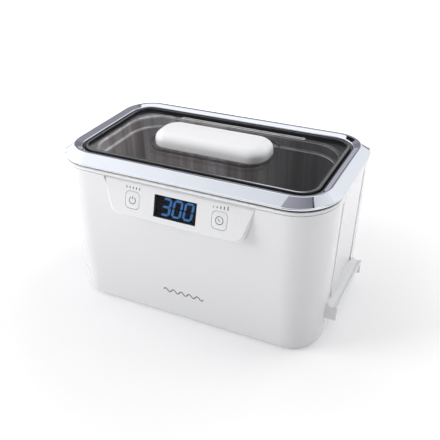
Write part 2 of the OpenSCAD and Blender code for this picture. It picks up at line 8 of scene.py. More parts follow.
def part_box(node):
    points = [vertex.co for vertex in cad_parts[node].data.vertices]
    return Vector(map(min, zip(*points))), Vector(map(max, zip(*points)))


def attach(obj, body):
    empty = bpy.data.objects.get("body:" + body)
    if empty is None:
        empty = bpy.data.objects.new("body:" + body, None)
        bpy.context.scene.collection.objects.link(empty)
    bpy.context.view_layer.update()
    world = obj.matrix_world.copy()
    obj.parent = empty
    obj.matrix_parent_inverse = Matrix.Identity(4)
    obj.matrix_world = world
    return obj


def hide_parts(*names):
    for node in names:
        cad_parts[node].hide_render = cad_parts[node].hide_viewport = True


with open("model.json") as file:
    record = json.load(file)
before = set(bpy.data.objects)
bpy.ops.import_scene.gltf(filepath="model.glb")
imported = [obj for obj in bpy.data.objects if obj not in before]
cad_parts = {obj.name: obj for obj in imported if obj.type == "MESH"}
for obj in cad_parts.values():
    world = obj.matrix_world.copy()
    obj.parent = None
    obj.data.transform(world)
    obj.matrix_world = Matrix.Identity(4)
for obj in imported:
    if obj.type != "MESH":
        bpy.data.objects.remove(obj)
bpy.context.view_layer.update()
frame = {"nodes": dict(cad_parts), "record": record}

# Shapes are worked out in millimetres and written to the meshes in metres.
MM = 0.001

# Directions of the frame
RIGHT = Vector((1, 0, 0))
REAR = Vector((0, 1, 0))
UP = Vector((0, 0, 1))


# ---------------------------------------------------------------- sizes from the frame

def box_mm(node):
    """Lowest and highest corner of a CAD node, in millimetres."""
    low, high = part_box(node)
    return Vector(low) / MM, Vector(high) / MM


rim_low, rim_high = box_mm("chrome_rim")
body_low, body_high = box_mm("main_housing")
lid_high = box_mm("lid_panel")[1]
handle_low, handle_high = box_mm("lid_handle")
tank_low, tank_high = box_mm("tank")
visor_high = box_mm("control_panel")[1]
window_low, window_high = box_mm("display_window")
timer_low, timer_high = box_mm("timer_button")
grip_high = box_mm("right_grip")[1]
inlet_low, inlet_high = box_mm("power_inlet")

# The middle of the body, front to back
MID_Y = (rim_low.y + rim_high.y) / 2

# Rim: each outline is half its length, half its depth and its corner radius
RIM_Z = body_high.z
RIDGE_Z = rim_high.z
LAND_FALL = 2.0
OUTER = (rim_high.x, (rim_high.y - rim_low.y) / 2, 31.0)
RIDGE = (94.5, 50.9, 20.6)
MOUTH = tuple(c - 4.9 for c in RIDGE)
CORNER_X = RIDGE[0] - RIDGE[2]
CORNER_Y = RIDGE[1] - RIDGE[2]
LID_R = MOUTH[2] - 2.2

# Housing: half lengths, half depths and corner radii at its top and its foot
LIP_Z = RIM_Z - 3.9
LIP_PROUD = 0.4
TOP_X = body_high.x - LIP_PROUD
TOP_Y = (body_high.y - body_low.y) / 2 - LIP_PROUD
TOP_R = 29.2
FOOT_X = 95.9
FOOT_Y = 56.8
FOOT_R = 23.4
FOOT_Z = body_low.z
WALL = 2.4
# Shadow gap under the lip, and the recess over the lip that holds the dark strip painting the shadow line
# under the rim
GAP_TOP = LIP_Z + 0.4
GAP_DEPTH = 0.8
RECESS_Z = RIM_Z - 1.25
RECESS_DEPTH = 0.5

# Visor: its face leans back by TILT and passes through FACE
TILT = math.radians(16)
VISOR_TOP = visor_high.x
VISOR_BOTTOM = 50.0
VISOR_H = 24.6
FACE = Vector((0, MID_Y - 62.4, 96.0))
BUTTON_X = (timer_low.x + timer_high.x) / 2
BUTTON_W = 10.8
BUTTON_H = 11.8
WINDOW_W = window_high.x - window_low.x
WINDOW_H = 15.2

# Grips: half widths of ledge and panel, the ledge's height, its sweep and its cheeks' depth
GRIP_HALF = 32.0
PANEL_HALF = 24.3
GRIP_Z = 28.0
GRIP_RISE = 6.0
GRIP_END = 11.5


# ---------------------------------------------------------------- mesh helpers

def new_object(name, mesh):
    """An object in the scene for a mesh."""
    ob = bpy.data.objects.new(name, mesh)
    bpy.context.scene.collection.objects.link(ob)
    return ob


def mesh_from(name, verts, faces):
    """A mesh object from points in millimetres."""
    mesh = bpy.data.meshes.new(name)
    mesh.from_pydata([tuple(c * MM for c in v) for v in verts], [], faces)
    bm = bmesh.new()
    bm.from_mesh(mesh)
    bmesh.ops.recalc_face_normals(bm, faces=bm.faces)
    bm.to_mesh(mesh)
    bm.free()
    return new_object(name, mesh)


def arc(cx, cy, r, a0, a1, steps):
    """Points on an arc, both ends counted, in degrees."""
    turns = [math.radians(a0 + (a1 - a0) * i / steps) for i in range(steps + 1)]
    return [(cx + r * math.cos(a), cy + r * math.sin(a)) for a in turns]


def plan(half_x, half_y, r, z, steps=14, mid_y=None):
    """A rounded rectangle at height z, as a ring of points."""
    mid_y = MID_Y if mid_y is None else mid_y
    cx, cy = half_x - r, half_y - r
    ring = []
    for turn, (sx, sy) in enumerate(((1, 1), (-1, 1), (-1, -1), (1, -1))):
        ring += arc(sx * cx, sy * cy, r, 90 * turn, 90 * turn + 90, steps)
    return [(x, y + mid_y, z) for x, y in ring]


def loft(name, rings, closed=False):
    """Joins rings of equal length. An open loft gets a face at each end."""
    n = len(rings[0])
    verts = [p for ring in rings for p in ring]
    faces = []
    last = len(rings) if closed else len(rings) - 1
    for i in range(last):
        a, b = i * n, (i + 1) % len(rings) * n
        faces += [(a + k, a + (k + 1) % n, b + (k + 1) % n, b + k) for k in range(n)]
    if not closed:
        faces.append(tuple(range(n)))
        faces.append(tuple(len(verts) - n + k for k in range(n)))
    return mesh_from(name, verts, faces)


def prism(name, outline, low, high, place):
    """Extrudes an outline between two levels, then places each point."""
    rings = [[place(u, v, w) for u, v in outline] for w in (low, high)]
    return loft(name, rings)


def apply_modifiers(ob):
    """Bakes an object's modifiers into its mesh."""
    graph = bpy.context.evaluated_depsgraph_get()
    mesh = bpy.data.meshes.new_from_object(ob.evaluated_get(graph))
    ob.modifiers.clear()
    old = ob.data
    ob.data = mesh
    bpy.data.meshes.remove(old)


def combine(ob, others, operation):
    """Cuts or joins other objects with ob, and removes them."""
    for other in others:
        mod = ob.modifiers.new(operation.lower(), "BOOLEAN")
        mod.operation = operation
        mod.solver = "EXACT"
        mod.object = other
        apply_modifiers(ob)
        bpy.data.objects.remove(other)


def soften(ob, width, segments=3, angle=35):
    """Rounds the edges sharper than angle."""
    mod = ob.modifiers.new("soften", "BEVEL")
    mod.width = width * MM
    mod.segments = segments
    mod.limit_method = "ANGLE"
    mod.angle_limit = math.radians(angle)
    mod.use_clamp_overlap = True
    apply_modifiers(ob)


def shade(ob, angle=35):
    """Smooth shading that keeps flat faces flat."""
    mesh = ob.data
    mesh.polygons.foreach_set("use_smooth", [True] * len(mesh.polygons))
    mesh.set_sharp_from_angle(angle=math.radians(angle))
    mod = ob.modifiers.new("normals", "WEIGHTED_NORMAL")
    mod.keep_sharp = True
    mod.weight = 100
    mesh.update()


def finish_piece(ob, material, body, nodes=(), angle=35):
    """Material, shading and the frame's bookkeeping for one piece."""
    if material is not None:
        ob.data.materials.clear()
        ob.data.materials.append(material)
    shade(ob, angle)
    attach(ob, body)
    if nodes:
        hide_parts(*nodes)
    return ob


# ---------------------------------------------------------------- material helpers

class Nodes:
    """A small builder for one material's node tree."""

    def __init__(self, name):
        self.material = bpy.data.materials.new(name)
        self.material.use_nodes = True
        self.tree = self.material.node_tree
        self.shader = self.tree.nodes["Principled BSDF"]
        coords = self.tree.nodes.new("ShaderNodeTexCoord")
        self.position = coords.outputs["Object"]

    def node(self, kind, inputs=None, **settings):
        """Adds a node, sets its properties and feeds its inputs."""
        n = self.tree.nodes.new(kind)
        for key, value in settings.items():
            setattr(n, key, value)
        for key, value in (inputs or {}).items():
            self.feed(n.inputs[key], value)
        return n

    def feed(self, socket, value):
        """Links an output to a socket, or sets a plain value on it."""
        if isinstance(value, bpy.types.NodeSocket):
            self.tree.links.new(value, socket)
        else:
            socket.default_value = value

    def noise(self, scale, detail=4, stretch=(1, 1, 1), rough=0.55):
        """Noise over the object, scale in waves per metre."""
        mapping = self.node("ShaderNodeMapping", {"Vector": self.position, "Scale": stretch})
        n = self.node("ShaderNodeTexNoise", {
            "Vector": mapping.outputs["Vector"], "Scale": scale, "Detail": detail, "Roughness": rough})
        return n.outputs["Fac"]

    def span(self, value, low, high, start=0.0, stop=1.0):
        """Maps start..stop to low..high."""
        n = self.node("ShaderNodeMapRange", {
            "Value": value, "From Min": start, "From Max": stop, "To Min": low, "To Max": high})
        return n.outputs["Result"]

    def blend(self, fac, a, b):
        """Mixes two colours."""
        n = self.node("ShaderNodeMix", data_type="RGBA")
        fac_input, first_colour, second_colour, colour_output = 0, 6, 7, 2
        self.feed(n.inputs[fac_input], fac)
        for key, value in ((first_colour, a), (second_colour, b)):
            if not isinstance(value, bpy.types.NodeSocket):
                value = tuple(value) + (1.0,) * (4 - len(value))
            self.feed(n.inputs[key], value)
        return n.outputs[colour_output]

    def math(self, operation, a, b):
        """Arithmetic on two values."""
        n = self.node("ShaderNodeMath", operation=operation)
        self.feed(n.inputs[0], a)
        self.feed(n.inputs[1], b)
        return n.outputs[0]

    def bump(self, height, strength, distance):
        """Bump whose distance is in millimetres."""
        n = self.node("ShaderNodeBump", {"Height": height, "Strength": strength, "Distance": distance * MM})
        self.feed(self.shader.inputs["Normal"], n.outputs["Normal"])

    def set(self, **values):
        """Feeds the shader's sockets, named in lower case with underscores."""
        for key, value in values.items():
            name = key.replace("_", " ").title().replace("Ior", "IOR")
            if isinstance(value, tuple) and len(value) == 3:
                value = value + (1.0,)
            self.feed(self.shader.inputs[name], value)


def moulded(name, colour, rough=0.25, grain=0.0, tint=0.02, coat=0.0):
    """Moulded plastic: faint flow marks in the colour, uneven gloss and a fine skin."""
    m = Nodes(name)
    flow = m.noise(38, 3, (1, 1, 0.35))
    dark = tuple(c * (1 - tint) for c in colour)
    m.set(base_color=m.blend(flow, dark, colour))
    fine = m.noise(900, 2)
    m.set(roughness=m.span(fine, rough * 0.85, rough * 1.15))
    if coat:
        m.set(coat_weight=coat, coat_roughness=0.04)
    if grain:
        m.bump(m.noise(2600, 3), 0.5, grain)
    return m.material


def metal(name, colour, rough, streak, scale):
    """Metal with a grain: streaks along the axis whose stretch is small."""
    depth, contrast = 0.01, 0.15
    m = Nodes(name)
    grain = m.noise(scale, 5, streak, 0.7)
    dark = tuple(c * (1 - contrast) for c in colour)
    m.set(metallic=1.0, base_color=m.blend(grain, dark, colour))
    m.set(roughness=m.span(grain, rough * 0.7, rough * 1.3))
    m.bump(grain, 0.4, depth)
    return m.material


# ---------------------------------------------------------------- materials

def chrome_material():
    """Chrome plate with a faint haze and uneven polish."""
    m = Nodes("polished_chrome")
    haze = m.noise(60, 4)
    m.set(metallic=1.0, base_color=m.blend(haze, (0.80, 0.815, 0.85), (0.86, 0.87, 0.90)))
    m.set(roughness=m.span(m.noise(420, 3), 0.035, 0.075))
    return m.material


def along(m, axis):
    """How far along an axis the shaded point lies."""
    place = m.node("ShaderNodeVectorMath", operation="DOT_PRODUCT")
    m.feed(place.inputs[0], m.position)
    m.feed(place.inputs[1], axis)
    return place.outputs["Value"]


def tank_material():
    """Drawn stainless steel: fine and broad vertical draw marks."""
    m = Nodes("drawn_steel")
    brown, bright, shadow = (0.52, 0.46, 0.45), (1.0, 0.99, 1.0), (0.17, 0.175, 0.18)
    draw = m.noise(230, 6, (1, 1, 0.02), 0.75)
    broad = m.noise(55, 3, (1, 1, 0.05))
    mixed = m.math("ADD", m.math("MULTIPLY", draw, 0.4), m.math("MULTIPLY", broad, 0.6))
    steel = m.blend(m.span(mixed, 0, 1, 0.42, 0.58), brown, bright)
    # The wall is darker towards the right end, which faces away from the light
    rightward = m.span(along(m, RIGHT), 0, 1, -0.05, 0.08)
    steel = m.blend(rightward, steel, shadow)
    m.set(metallic=0.55, base_color=steel)
    m.set(roughness=m.span(draw, 0.22, 0.42))
    m.bump(draw, 0.35, 0.03)
    return m.material


def smoke_material(name, colour, alpha, rough, back=1.0, glint=1.0, ior=1.7):
    """Smoked plastic or dark rubber. Its tone is scaled by back at the rear, painted light that darkens it
    below one and lightens it above one, and by glint at the front right, a painted highlight.
    """
    m = Nodes(name)
    tone = m.blend(m.noise(25, 2), tuple(c * 0.9 for c in colour), colour)
    rearward = along(m, REAR)
    # Masks for painted light: a band at the rear, and a spot at the front right for the glint
    rear = m.span(rearward, 0, 1, 0.030, 0.042)
    front = m.span(rearward, 1, 0, -0.0405, -0.0375)
    right = m.span(along(m, RIGHT), 0, 1, 0.015, 0.055)
    # Painted light at the rear, scaled by back, then the painted highlight at the front right, scaled by
    # glint
    tone = m.blend(rear, tone, tuple(c * back for c in colour))
    tone = m.blend(m.math("MULTIPLY", front, right), tone, tuple(c * glint for c in colour))
    m.set(base_color=tone, roughness=m.span(m.noise(300, 3), rough, rough * 1.6))
    m.set(alpha=alpha, ior=ior)
    return m.material


def rim_shadow_material():
    """Painted shadow line under the rim: a grey strip, painted darker towards the right end."""
    m = Nodes("painted_rim_shadow")
    grey, black = (0.34, 0.34, 0.345), (0.012, 0.012, 0.014)
    m.set(base_color=m.blend(m.span(along(m, RIGHT), 0, 1, 0.0, 0.075), grey, black))
    m.set(roughness=m.span(m.noise(300, 3), 0.45, 0.6))
    return m.material


def lit_material():
    """Lit bars of the display, their glow a little uneven."""
    m = Nodes("lit_bars")
    glow = m.blend(m.noise(500, 2), (0.07, 0.30, 0.85), (0.16, 0.48, 1.0))
    m.set(base_color=(0.02, 0.08, 0.3), emission_color=glow, emission_strength=1.1, roughness=0.5)
    return m.material


def board_material():
    """Green laminate with paler copper tracks under the solder mask."""
    m = Nodes("circuit_board")
    cells = m.node("ShaderNodeTexBrick", {"Vector": m.position, "Scale": 90.0, "Mortar Size": 0.03})
    tracks = m.math("GREATER_THAN", m.noise(240, 1, (1, 0.25, 1)), 0.55)
    mask = m.math("MULTIPLY", tracks, cells.outputs["Fac"])
    m.set(base_color=m.blend(mask, (0.015, 0.13, 0.06), (0.06, 0.30, 0.14)))
    m.set(roughness=m.span(tracks, 0.35, 0.25))
    m.bump(mask, 0.3, 0.04)
    return m.material


# One material for each slot of the frame, and a few more for parts of a piece.
# Moulded: name, colour, roughness, grain in millimetres, tint and coat.
# Metal: name, colour, roughness, streak and scale.
# Smoke: name, colour, alpha, roughness, back and glint; back scales painted light at the rear, and glint a
# painted highlight at the front right.
MATERIALS = {
    "body": moulded("white_housing", (0.80, 0.80, 0.815), 0.22, 0.004, 0.01, 0.25),
    "panel": moulded("white_panel", (0.82, 0.82, 0.83), 0.20, 0.003, 0.01, 0.25),
    "handle": moulded("white_handle", (0.93, 0.93, 0.94), 0.30, 0.003, 0.01),
    "base": moulded("white_base", (0.72, 0.72, 0.73), 0.5, 0.03, 0.03),
    "chrome": chrome_material(),
    # Dark strip under the rim: painted shadow line, darker towards the right end
    "rim_shadow": rim_shadow_material(),
    # Pale plastic of the tank's beads and the lid's rib: painted highlight lines
    "rib": moulded("rib_painted_highlight", (0.88, 0.88, 0.88), 0.15, 0.002, 0.05),
    "steel_tank": tank_material(),
    "smoke": smoke_material("smoked_sheet", (0.03, 0.03, 0.032), 0.13, 0.02),
    "smoke_edge": smoke_material("smoked_edge", (0.012, 0.012, 0.014), 0.96, 0.12),
    # Pale border, with painted shade at the rear and a painted highlight at the front right
    "smoke_border": smoke_material("frosted_border", (0.20, 0.205, 0.215), 0.80, 0.10, 0.2, 4.0),
    "smoke_line": smoke_material("pressed_line", (0.01, 0.01, 0.012), 0.9, 0.1),
    # Well wall: darker and more opaque, partly the wall's own smoke seen edge-on and partly painted shade
    # round the handle's foot
    "smoke_wall": smoke_material("well_wall_shade", (0.02, 0.02, 0.024), 0.62, 0.04),
    # Seal: its black paints the shaded gap round the lid, and its rear is painted lighter
    "seal": smoke_material("seal_gap_shade", (0.013, 0.013, 0.014), 1.0, 0.3, 8.0),
    "window": smoke_material("tinted_window", (0.004, 0.004, 0.007), 0.42, 0.05, ior=1.25),
    "digits": lit_material(),
    "module": moulded("black_module", (0.012, 0.012, 0.015), 0.6, 0.01),
    "ink": moulded("grey_ink", (0.10, 0.10, 0.115), 0.5, 0.002, 0.1),
    "rubber": moulded("grey_rubber", (0.06, 0.06, 0.065), 0.75, 0.05, 0.2),
    "silicone": moulded("grey_silicone", (0.35, 0.35, 0.35), 0.6, 0.02, 0.1),
    "screw": metal("zinc_screw", (0.62, 0.62, 0.64), 0.3, (1, 1, 4), 900),
    "inlet": moulded("black_inlet", (0.018, 0.018, 0.02), 0.45, 0.02, 0.2),
    "pin": metal("plated_pin", (0.75, 0.66, 0.42), 0.22, (1, 0.1, 1), 900),
    "board": board_material(),
    "ferrite": moulded("ferrite", (0.05, 0.05, 0.055), 0.55, 0.03, 0.25),
    "winding": moulded("taped_winding", (0.62, 0.48, 0.06), 0.4, 0.02, 0.2),
    "capacitor": moulded("capacitor_sleeve", (0.03, 0.05, 0.18), 0.3, 0.005, 0.15),
    "alloy": metal("machined_alloy", (0.74, 0.75, 0.77), 0.32, (1, 1, 6), 500),
    "package": moulded("moulded_package", (0.02, 0.02, 0.022), 0.6, 0.02, 0.2),
    "fuse": moulded("fuse_ceramic", (0.70, 0.62, 0.48), 0.4, 0.01, 0.1),
    "piezo": metal("silvered_ceramic", (0.55, 0.54, 0.52), 0.5, (1, 1, 1), 1200),
    "brass_tab": metal("brass_sheet", (0.72, 0.54, 0.26), 0.3, (1, 0.2, 1), 800),
    "dark_steel": metal("blackened_steel", (0.22, 0.22, 0.235), 0.4, (1, 1, 5), 600),
    "lead_red": moulded("red_insulation", (0.45, 0.03, 0.025), 0.4, 0.01, 0.15),
    "lead_brown": moulded("brown_insulation", (0.16, 0.07, 0.03), 0.4, 0.01, 0.15),
    "ribbon": moulded("grey_insulation", (0.5, 0.5, 0.52), 0.4, 0.01, 0.15),
}


# ---------------------------------------------------------------- housing and rim

def end_x(z):
    """Half length of the housing at height z."""
    return FOOT_X + (TOP_X - FOOT_X) * (z - FOOT_Z) / (LIP_Z - FOOT_Z)


def wall_ring(z, grow):
    """Plan of the housing's wall at height z, pushed out by grow."""
    t = (z - FOOT_Z) / (LIP_Z - FOOT_Z)
    half_y = FOOT_Y + (TOP_Y - FOOT_Y) * t
    r = FOOT_R + (TOP_R - FOOT_R) * t
    return plan(end_x(z) + grow, half_y + grow, r + grow, z, 20)


def lip_ring(z, grow):
    """Plan of the housing's top at height z, pushed out by grow."""
    return plan(TOP_X + grow, TOP_Y + grow, TOP_R + grow, z, 20)


def groove(side, y):
    """Shallow valley down an end wall, over the seam of its grip panel, as a cutter."""
    low, high, half, depth, ease = 30.0, 104.5, 2.2, 1.9, 1.2
    # The valley narrows towards both ends: a height, and the share of its full size there
    lower_end = ((low - 0.5, 0.5), (low, 0.85), (low + ease, 1))
    upper_end = ((high - ease, 1), (high, 0.85), (high + 0.5, 0.5))
    circle = arc(0, 0, 1, 0, 345, 23)
    rings = []
    for z, swell in lower_end + upper_end:
        x = side * (end_x(z) + 0.15)
        rings.append([(x + u * depth * swell, y + v * half * swell, z) for u, v in circle])
    return loft("groove", rings)


def grooves(side):
    """Cutters for the two grooves of one end."""
    return [groove(side, MID_Y + s * PANEL_HALF) for s in (-1, 1)]


def housing_rings():
    """The shell's rings: up its outer side, over the top and down its inner side."""
    r = 2.6
    # Rolled foot, then the plain wall
    rings = [wall_ring(FOOT_Z, -WALL), wall_ring(FOOT_Z, -r + 0.1)]
    for u, v in arc(-r, FOOT_Z + r, r, -80, 0, 7):
        rings.append(wall_ring(v, u))
    rings += [wall_ring(LIP_Z - 0.55, 0), wall_ring(LIP_Z - 0.25, -0.12)]
    # Shadow gap, lip, recess and top edge
    rings += [lip_ring(LIP_Z - 0.2, -GAP_DEPTH), lip_ring(GAP_TOP, -GAP_DEPTH)]
    rings += [lip_ring(GAP_TOP + 0.02, 0.1), lip_ring(GAP_TOP + 0.3, LIP_PROUD)]
    rings += [lip_ring(RECESS_Z - 0.3, LIP_PROUD), lip_ring(RECESS_Z - 0.05, 0.2)]
    rings += [lip_ring(RECESS_Z, -RECESS_DEPTH), lip_ring(RIM_Z, -RECESS_DEPTH - 0.1)]
    # Inner side
    rings += [lip_ring(RIM_Z, -WALL), lip_ring(LIP_Z, -WALL)]
    rings += [wall_ring(LIP_Z - 1, -WALL), wall_ring(FOOT_Z + 3, -WALL)]
    return rings


def make_housing():
    """Tapered shell with a lip under the rim, cut open for the visor, the grips and the inlet."""
    rings = housing_rings()
    ob = loft("housing_shell", rings, closed=True)
    visor_gap, behind, in_front = 0.12, -12, 4
    cutters = [visor_block("visor_hole", visor_gap, behind, in_front)]
    for side in (-1, 1):
        top, half = LIP_Z - 0.2, PANEL_HALF + 0.05
        slab = [(GRIP_Z, -half), (top, -half), (top, half), (GRIP_Z, half)]
        inner_x, outer_x = 85, 112
        cutters.append(prism(
            "grip_hole", slab, inner_x, outer_x, lambda z, y, x, s=side: (s * x, y + MID_Y, z)))
        cutters += grooves(side)
    cx, cz = (inlet_low.x + inlet_high.x) / 2, (inlet_low.z + inlet_high.z) / 2
    half_x, half_z = 10.1, 7.1
    hole = [(cx + u * half_x, cz + v * half_z) for u, v in ((-1, -1), (1, -1), (1, 1), (-1, 1))]
    inner_y, outer_y = MID_Y + 50, MID_Y + 66
    cutters.append(prism("inlet_hole", hole, inner_y, outer_y, lambda x, z, y: (x, y, z)))
    combine(ob, cutters, "DIFFERENCE")
    return finish_piece(ob, MATERIALS["body"], "cleaner", ["main_housing"])


def mix(a, b, t):
    """The point a share t of the way from a to b."""
    return tuple(p + (q - p) * t for p, q in zip(a, b))


def bend(a, corner, b, steps=6):
    """Points of a smooth curve that leaves a, turns at corner and ends at b."""
    turns = [i / steps for i in range(steps + 1)]
    return [mix(mix(a, corner, t), mix(corner, b, t), t) for t in turns]


def grown(outline, grow, z):
    """An outline grown on every side, with its height."""
    return tuple(c + grow for c in outline) + (z,)


def make_rim():
    """Chromed frame: an outer and an inner bevel that meet in a soft ridge."""
    seat_z = tank_high.z + 0.1
    under_z = RIM_Z + 0.02
    thick = 1.6
    edge = grown(OUTER, 0, RIM_Z + 0.95)
    ridge = grown(RIDGE, 0, RIDGE_Z)
    mouth = grown(MOUTH, 0, RIDGE_Z - LAND_FALL)
    well = grown(MOUTH, 0, seat_z)
    # Underside and outer edge, then the soft corners where one face turns into the next
    profile = [grown(OUTER, -2 * thick, under_z)]
    profile += bend(grown(OUTER, -0.9, under_z), grown(OUTER, 0, under_z), edge, 4)
    profile += bend(edge, grown(OUTER, 0, RIM_Z + 1.3), mix(edge, ridge, 0.11), 4)[1:]
    profile += bend(mix(edge, ridge, 0.88), ridge, mix(ridge, mouth, 0.28))
    profile += bend(mix(ridge, mouth, 0.86), mouth, mix(mouth, well, 0.25), 4)
    # Foot on the tank's flange, and back under both bevels
    profile += [well, grown(MOUTH, thick, seat_z), grown(MOUTH, thick, mouth[3] - 1.2)]
    profile += [grown(RIDGE, -0.5, RIDGE_Z - 1.9)]
    rings = [plan(x, y, r, z, 24) for x, y, r, z in profile]
    ob = loft("rim_frame", rings, closed=True)
    return finish_piece(ob, MATERIALS["chrome"], "cleaner", ["chrome_rim"], 50)


def make_rim_shadow_strip():
    """Grey strip at the back of the recess between the rim and the lip: a dark part that paints the shadow
    line under the rim.
    """
    clearance = 0.02
    low, high = RECESS_Z + clearance, RIM_Z - clearance
    inner, outer = -1.5, 0.1 - RECESS_DEPTH
    levels = ((inner, low), (outer, low), (outer, high), (inner, high))
    ob = loft("rim_shadow_strip", [lip_ring(z, grow) for grow, z in levels], closed=True)
    return finish_piece(ob, MATERIALS["rim_shadow"], "cleaner")


# ---------------------------------------------------------------- visor, buttons and display

def on_face(u, v, w):
    """Point of the visor's frame: u across, v up the face, w out of it."""
    y = FACE.y + v * math.sin(TILT) - w * math.cos(TILT)
    z = FACE.z + v * math.cos(TILT) + w * math.sin(TILT)
    return (u, y, z)


def visor_outline(grow):
    """Trapezium with rounded lower corners, grown on every side."""
    corner, steps = 8.5, 10
    lean = math.degrees(math.atan((VISOR_TOP - VISOR_BOTTOM) / VISOR_H))
    r = corner + grow
    top = VISOR_H / 2 + grow
    half = math.radians(45 - lean / 2)
    cx = VISOR_BOTTOM + grow - r * math.tan(half) - r * math.tan(math.radians(lean)) / 2
    cy = -top + r
    outline = [(VISOR_TOP + grow, top), (-VISOR_TOP - grow, top)]
    outline += arc(-cx, cy, r, 180 + lean, 270, steps)
    outline += arc(cx, cy, r, 270, 360 - lean, steps)
    return outline


def visor_block(name, grow, low, high):
    """The visor's grown outline as a block between two levels."""
    return prism(name, visor_outline(grow), low, high, on_face)


def key_outline(half_x, half_y, r, steps=8):
    """A rounded rectangle in the visor's frame."""
    points = []
    for turn, (sx, sy) in enumerate(((1, 1), (-1, 1), (-1, -1), (1, -1))):
        points += arc(sx * (half_x - r), sy * (half_y - r), r, 90 * turn, 90 * turn + 90, steps)
    return points


def face_loft(name, levels, centre=(0, 0)):
    """Lofts outlines up through levels, given as (outline, height), in the visor's frame."""
    rings = [[on_face(u + centre[0], v + centre[1], w) for u, v in outline] for outline, w in levels]
    return loft(name, rings)


def make_visor():
    """Shell with a rounded face edge, and holes for the window and the buttons."""
    r = 1.7
    skin, back = 2.0, -8.9
    hole_low, hole_high = -4, 3
    window_gap, button_gap = 0.05, 0.24
    levels = [(visor_outline(-skin), -skin), (visor_outline(-skin), back), (visor_outline(0), back)]
    for grow, w in arc(-r, -r, r, 0, 90, 7):
        levels.append((visor_outline(min(grow, 0)), w))
    ob = face_loft("visor", levels)
    window = key_outline(WINDOW_W / 2 + window_gap, WINDOW_H / 2 + window_gap, 0.3, 3)
    cutters = [prism("hole", window, hole_low, hole_high, on_face)]
    button = key_outline(BUTTON_W / 2 + button_gap, BUTTON_H / 2 + button_gap, 3.2)
    for side in (-1, 1):
        outline = [(u + side * BUTTON_X, v) for u, v in button]
        cutters.append(prism("hole", outline, hole_low, hole_high, on_face))
    combine(ob, cutters, "DIFFERENCE")
    return finish_piece(ob, MATERIALS["panel"], "cleaner", ["control_panel"])


def make_button(name, side, body, node):
    """Cap with a soft edge and a very slight crown, its retaining flange and stem behind."""
    r = 0.45
    crown = 0.12
    top, flange_top, flange_low, stem_low = 0.05, -2.22, -2.9, -3.58
    corner = 3.0
    stem_r = 1.6
    flange = key_outline(BUTTON_W / 2 + 1, BUTTON_H / 2 + 1, corner + 0.6)
    cap = key_outline(BUTTON_W / 2, BUTTON_H / 2, corner)
    stem = key_outline(stem_r, stem_r, stem_r)
    levels = [(stem, stem_low), (stem, flange_low), (flange, flange_low)]
    levels += [(flange, flange_top), (cap, flange_top)]
    for grow, w in arc(-r, top - r, r, 0, 90, 5):
        levels.append((key_outline(BUTTON_W / 2 + grow, BUTTON_H / 2 + grow, corner + grow), w))
    for shrink, lift in ((0.75, 0.45), (0.5, 0.75), (0.25, 0.93)):
        levels.append(([(u * shrink, v * shrink) for u, v in cap], top + crown * lift))
    ob = face_loft(name, levels, (side * BUTTON_X, 0))
    return finish_piece(ob, MATERIALS["panel"], body, [node])


def stroke(name, path, width, lift, centre_u, thick=0.06):
    """A printed line on the visor: a flat ribbon along a path, a hair proud of the face."""
    pts = [Vector(p) for p in path]
    top = lift + thick
    rings = []
    for i, p in enumerate(pts):
        before = pts[max(i - 1, 0)]
        after = pts[min(i + 1, len(pts) - 1)]
        heading = (after - before).normalized()
        across = Vector((-heading.y, heading.x)) * width / 2
        left, right = p + across, p - across
        corners = ((left, lift), (right, lift), (right, top), (left, top))
        rings.append([on_face(q.x + centre_u, q.y, w) for q, w in corners])
    return loft(name, rings)


def ink(ob, body):
    """Finishes a printed line, which no CAD node stands for."""
    return finish_piece(ob, MATERIALS["ink"], body)


def make_icons():
    """Power sign and clock on the buttons, and plain tick marks above them."""
    lift, width = 0.12, 0.5
    power_x, timer_x = -BUTTON_X, BUTTON_X
    ring = arc(0, -0.2, 2.4, 122, 418, 28)
    ink(stroke("power_sign_arc", ring, width, lift, power_x), "power_key")
    bar = [(0, 0.6), (0, 1.6), (0, 2.9)]
    ink(stroke("power_sign_bar", bar, width, lift, power_x), "power_key")
    face = arc(0, 0, 2.6, 75, 425, 32)
    ink(stroke("clock_sign_ring", face, width, lift, timer_x), "timer_key")
    hand = [(0.5, -0.6), (-0.35, 0.2), (-1.2, 1.1)]
    ink(stroke("clock_sign_hand", hand, width, lift, timer_x), "timer_key")
    make_ticks("power_mark", power_x, (1.1, 1.1, 1.1, 1.1, 1.1))
    make_ticks("timer_mark", timer_x, (0.5, 0.8, 1.1, 1.4, 1.7))


def make_ticks(name, centre_u, heights):
    """A row of tick marks over a button, in place of a label."""
    pitch, width, thick = 2.5, 0.7, 0.04
    foot = BUTTON_H / 2 + 1.75
    for i, height in enumerate(heights):
        x = (i - 2) * pitch
        path = [(x, foot), (x, foot + height * 0.75), (x, foot + height * 1.5)]
        ink(stroke(f"{name}_{i}", path, width, 0.0, centre_u, thick), "cleaner")


def make_window():
    """Tinted pane with eased edges, level with the visor's face."""
    r = 0.25
    chamfer, back = 0.1, -1.48
    half_x, half_y = WINDOW_W / 2, WINDOW_H / 2
    levels = [(key_outline(half_x - chamfer, half_y - chamfer, 0.3, 3), back)]
    levels.append((key_outline(half_x, half_y, 0.3, 3), back + chamfer))
    for grow, w in arc(-r, -r, r, 0, 90, 4):
        levels.append((key_outline(half_x + grow, half_y + grow, 0.5, 3), w))
    ob = face_loft("display_glass", levels)
    return finish_piece(ob, MATERIALS["window"], "cleaner", ["display_window"])


# ---------------------------------------------------------------- lid

# Half length, half depth and corner radius of the well's mouth
WELL = (45.0, 23.5, 16.0)
HANDLE_X = (handle_low.x + handle_high.x) / 2
WELL_X = HANDLE_X + 0.9
HANDLE_Y = (handle_low.y + handle_high.y) / 2
LID_T = 2.0
LID_TOP = lid_high.z
WELL_FLOOR = handle_low.z
